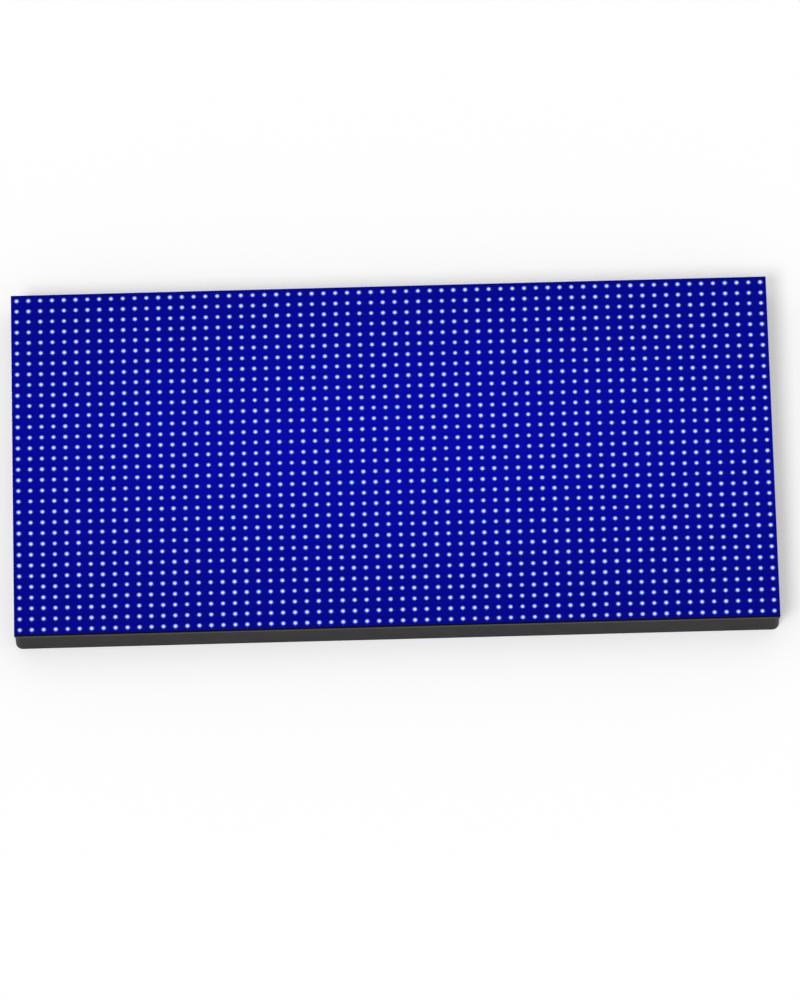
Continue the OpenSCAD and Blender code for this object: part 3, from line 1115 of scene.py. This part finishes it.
@dataclass(frozen=True)
class Room:
    """A pale floor under plain soft light, white as far as the camera sees."""

    floor_side: float = 14.0
    floor_drop: float = 0.1 * MM
    hidden_edge: float = 3 * MM
    floor_colour: Colour = (0.86, 0.86, 0.86)
    sky: float = 0.55
    lift: float = 0.26
    key_strength: float = 1.25
    bounce_strength: float = 1.1
    lamp_angle: float = math.radians(24)

    def build(self, footprint: "Box") -> None:
        """Builds the floor, the sky, the key light from above and the bounce from below."""
        self._build_floor(footprint)
        self._build_sky()
        self._add_lamp("key", self.key_strength, (math.radians(32), math.radians(-24), 0.0))
        self._add_lamp("bounce", self.bounce_strength, (math.radians(180 - 28), math.radians(20), 0.0))

    def _add_lamp(self, name: str, strength: float, turn: tuple[float, float, float]) -> None:
        """Adds a soft distant lamp, which shines down until it is turned."""
        lamp = bpy.data.lights.new(name, "SUN")
        lamp.energy, lamp.angle = strength, self.lamp_angle
        made = bpy.data.objects.new(name, lamp)
        made.rotation_euler = turn
        bpy.context.scene.collection.objects.link(made)

    def _build_floor(self, footprint: "Box") -> None:
        """Builds the floor, which looks white to the camera but where it is shaded.

        It is open under the module, and clear from below, so that the module's back can be seen.

        Args:
            footprint: the module's box.
        """
        half, drop = self.floor_side / 2, self.floor_drop
        in_x, in_y = footprint.high.x - self.hidden_edge, footprint.high.y - self.hidden_edge
        corners = [(sx * w, sy * h, -drop) for w, h in ((half, half), (in_x, in_y))
                   for sx, sy in ((-1, -1), (1, -1), (1, 1), (-1, 1))]
        faces = [(k, (k + 1) % 4, 4 + (k + 1) % 4, 4 + k) for k in range(4)]
        mesh = bpy.data.meshes.new("floor")
        mesh.from_pydata(corners, [], faces)
        floor = bpy.data.objects.new("floor", mesh)
        bpy.context.scene.collection.objects.link(floor)
        paint = bpy.data.materials.new("floor_paint")
        paint.use_nodes = True
        graph = Graph(paint.node_tree)
        top = graph.node("ShaderNodeBsdfPrincipled", None, {
            "Base Color": self.floor_colour, "Roughness": 0.9, "Specular IOR Level": 0.0,
            "Emission Color": (1.0, 1.0, 1.0), "Emission Strength": self._seen(graph) * self.lift,
        })
        clear = graph.node("ShaderNodeBsdfTransparent")
        below = graph.node("ShaderNodeNewGeometry").outputs["Backfacing"]
        both = graph.node("ShaderNodeMixShader", None, {0: below, 1: top.outputs[0], 2: clear.outputs[0]})
        graph.node("ShaderNodeOutputMaterial", None, {"Surface": both.outputs[0]})
        mesh.materials.append(paint)
        floor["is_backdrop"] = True

    @staticmethod
    def _seen(graph: Graph) -> Value:
        """1 for what the camera sees straight, in gloss or through glass, and 0 for what only lights."""
        path = graph.node("ShaderNodeLightPath")
        rays = ("Is Camera Ray", "Is Glossy Ray", "Is Transmission Ray")
        camera, gloss, glass = (Value(graph, path.outputs[name]) for name in rays)
        return camera.math("MAXIMUM", camera, gloss.math("MAXIMUM", gloss, glass))

    def _build_sky(self) -> None:
        """Builds a sky that is white to look at and lights more gently."""
        world = bpy.data.worlds.new("sky")
        world.use_nodes = True
        bpy.context.scene.world = world
        graph = Graph(world.node_tree)
        strength = self._seen(graph) * (1 - self.sky) + self.sky
        light = graph.node("ShaderNodeBackground", None, {"Color": (1.0, 1.0, 1.0), "Strength": strength})
        graph.node("ShaderNodeOutputWorld", None, {"Surface": light.outputs[0]})


@dataclass(frozen=True)
class Viewpoint:
    """A long lens that looks down on the face from beyond the bottom edge."""

    aim: tuple[float, float] = (2.546 * MM, -21.56 * MM)
    distance: float = 4.68408
    elevation: float = math.radians(63.323)
    swing: float = math.radians(-0.3009)
    roll: float = math.radians(-1.216)
    lens: float = 402.02
    sensor: float = 36.0

    def build(self, face: float) -> None:
        """Makes the scene's camera.

        Args:
            face: the z of the lit face, which the aim lies on.
        """
        data = bpy.data.cameras.new("camera")
        data.lens, data.sensor_width = self.lens, self.sensor
        data.clip_start, data.clip_end = 0.1, 50.0
        camera = bpy.data.objects.new("camera", data)
        bpy.context.scene.collection.objects.link(camera)
        level = math.cos(self.elevation)
        back = Vector((math.sin(self.swing) * level, -math.cos(self.swing) * level, math.sin(self.elevation)))
        turn = (-back).to_track_quat("-Z", "Y").to_matrix().to_4x4() @ Matrix.Rotation(self.roll, 4, "Z")
        camera.matrix_world = Matrix.Translation(Vector((*self.aim, face)) + back * self.distance) @ turn
        bpy.context.scene.camera = camera


# ---------------------------------------------------------------- the whole


def finishes(module: Module) -> dict[Slot, Finish]:
    """The finish of each of the record's slots."""
    mask = module.box("mask")
    glow = Glow(module.pitch, mask.high.x, mask.high.y)
    board = module.board
    return {
        Slot.MASK: LitPlastic("mask_plastic", glow, board.high.z + 0.4 * MM),
        Slot.PACKAGE: LitPlastic("led_package", glow, board.high.z + 0.4 * MM, shine=0.02, roughness=0.4),
        Slot.LAMINATE: Laminate("board_laminate", glow, board.high.z, board.high.x, board.high.y),
        Slot.FRAME: MouldedPlastic("frame_plastic", (0.011, 0.011, 0.013), 0.58, shine=0.22),
        Slot.BRASS: Metal("insert_brass", (0.74, 0.53, 0.24), (0.4, 0.25, 0.1)),
        Slot.STEEL: Metal("screw_steel", (0.62, 0.62, 0.63), (0.3, 0.29, 0.28), 0.3),
        Slot.HEADER: MouldedPlastic("header_plastic", (0.02, 0.02, 0.022), 0.42, 0.2 * MM, 0.01 * MM),
        Slot.GOLD: Metal("pin_gold", (0.9, 0.66, 0.26), (0.6, 0.4, 0.14), 0.2, mark_size=0.2 * MM),
        Slot.TERMINAL: MouldedPlastic(
            "terminal_plastic", (0.74, 0.71, 0.6), 0.4, 0.2 * MM, 0.01 * MM, mottle=0.04
        ),
        Slot.TIN: Metal("pin_tin", (0.72, 0.72, 0.71), (0.42, 0.42, 0.4), 0.3, mark_size=0.2 * MM),
        Slot.CHIP: MouldedPlastic("chip_plastic", (0.022, 0.022, 0.024), 0.6, 0.12 * MM, 0.014 * MM),
        Slot.CAN: Metal("capacitor_can", (0.66, 0.66, 0.67), (0.5, 0.5, 0.5), 0.26, mark_size=0.4 * MM),
        Slot.RESISTOR: MouldedPlastic("resistor_body", (0.02, 0.02, 0.026), 0.35, 0.1 * MM, 0.006 * MM),
        Slot.CERAMIC: FiredCeramic("ceramic_body", (0.42, 0.3, 0.19)),
    }


def dress_nodes(frame: dict[str, Any], materials: dict[Slot, bpy.types.Material]) -> None:
    """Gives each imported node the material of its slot."""
    for part in frame["record"]["subparts"]:
        node = frame["nodes"][part["node"]]
        for place in node.material_slots:
            place.material = materials[Slot(part["material_slot"])]
        LOG.info("%s: %s", part["node"], part["material_slot"])


def main() -> None:
    """Builds the whole scene."""
    logging.basicConfig(level=logging.INFO, format="%(message)s")
    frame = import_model()
    packed_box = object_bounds()
    bpy.context.scene.view_settings.view_transform = "Standard"
    module = Module(frame)
    Viewpoint().build(module.box("mask").high.z)
    Room().build(module.box("rear_frame"))
    materials = {slot: finish.material() for slot, finish in finishes(module).items()}
    dress_nodes(frame, materials)
    BoardBack(module).build(materials)
    boxes = {"packed": packed_box, "shown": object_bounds()}
    {name: [list(corner) for corner in box] for name, box in boxes.items()}


if __name__ == "__main__":
    main()
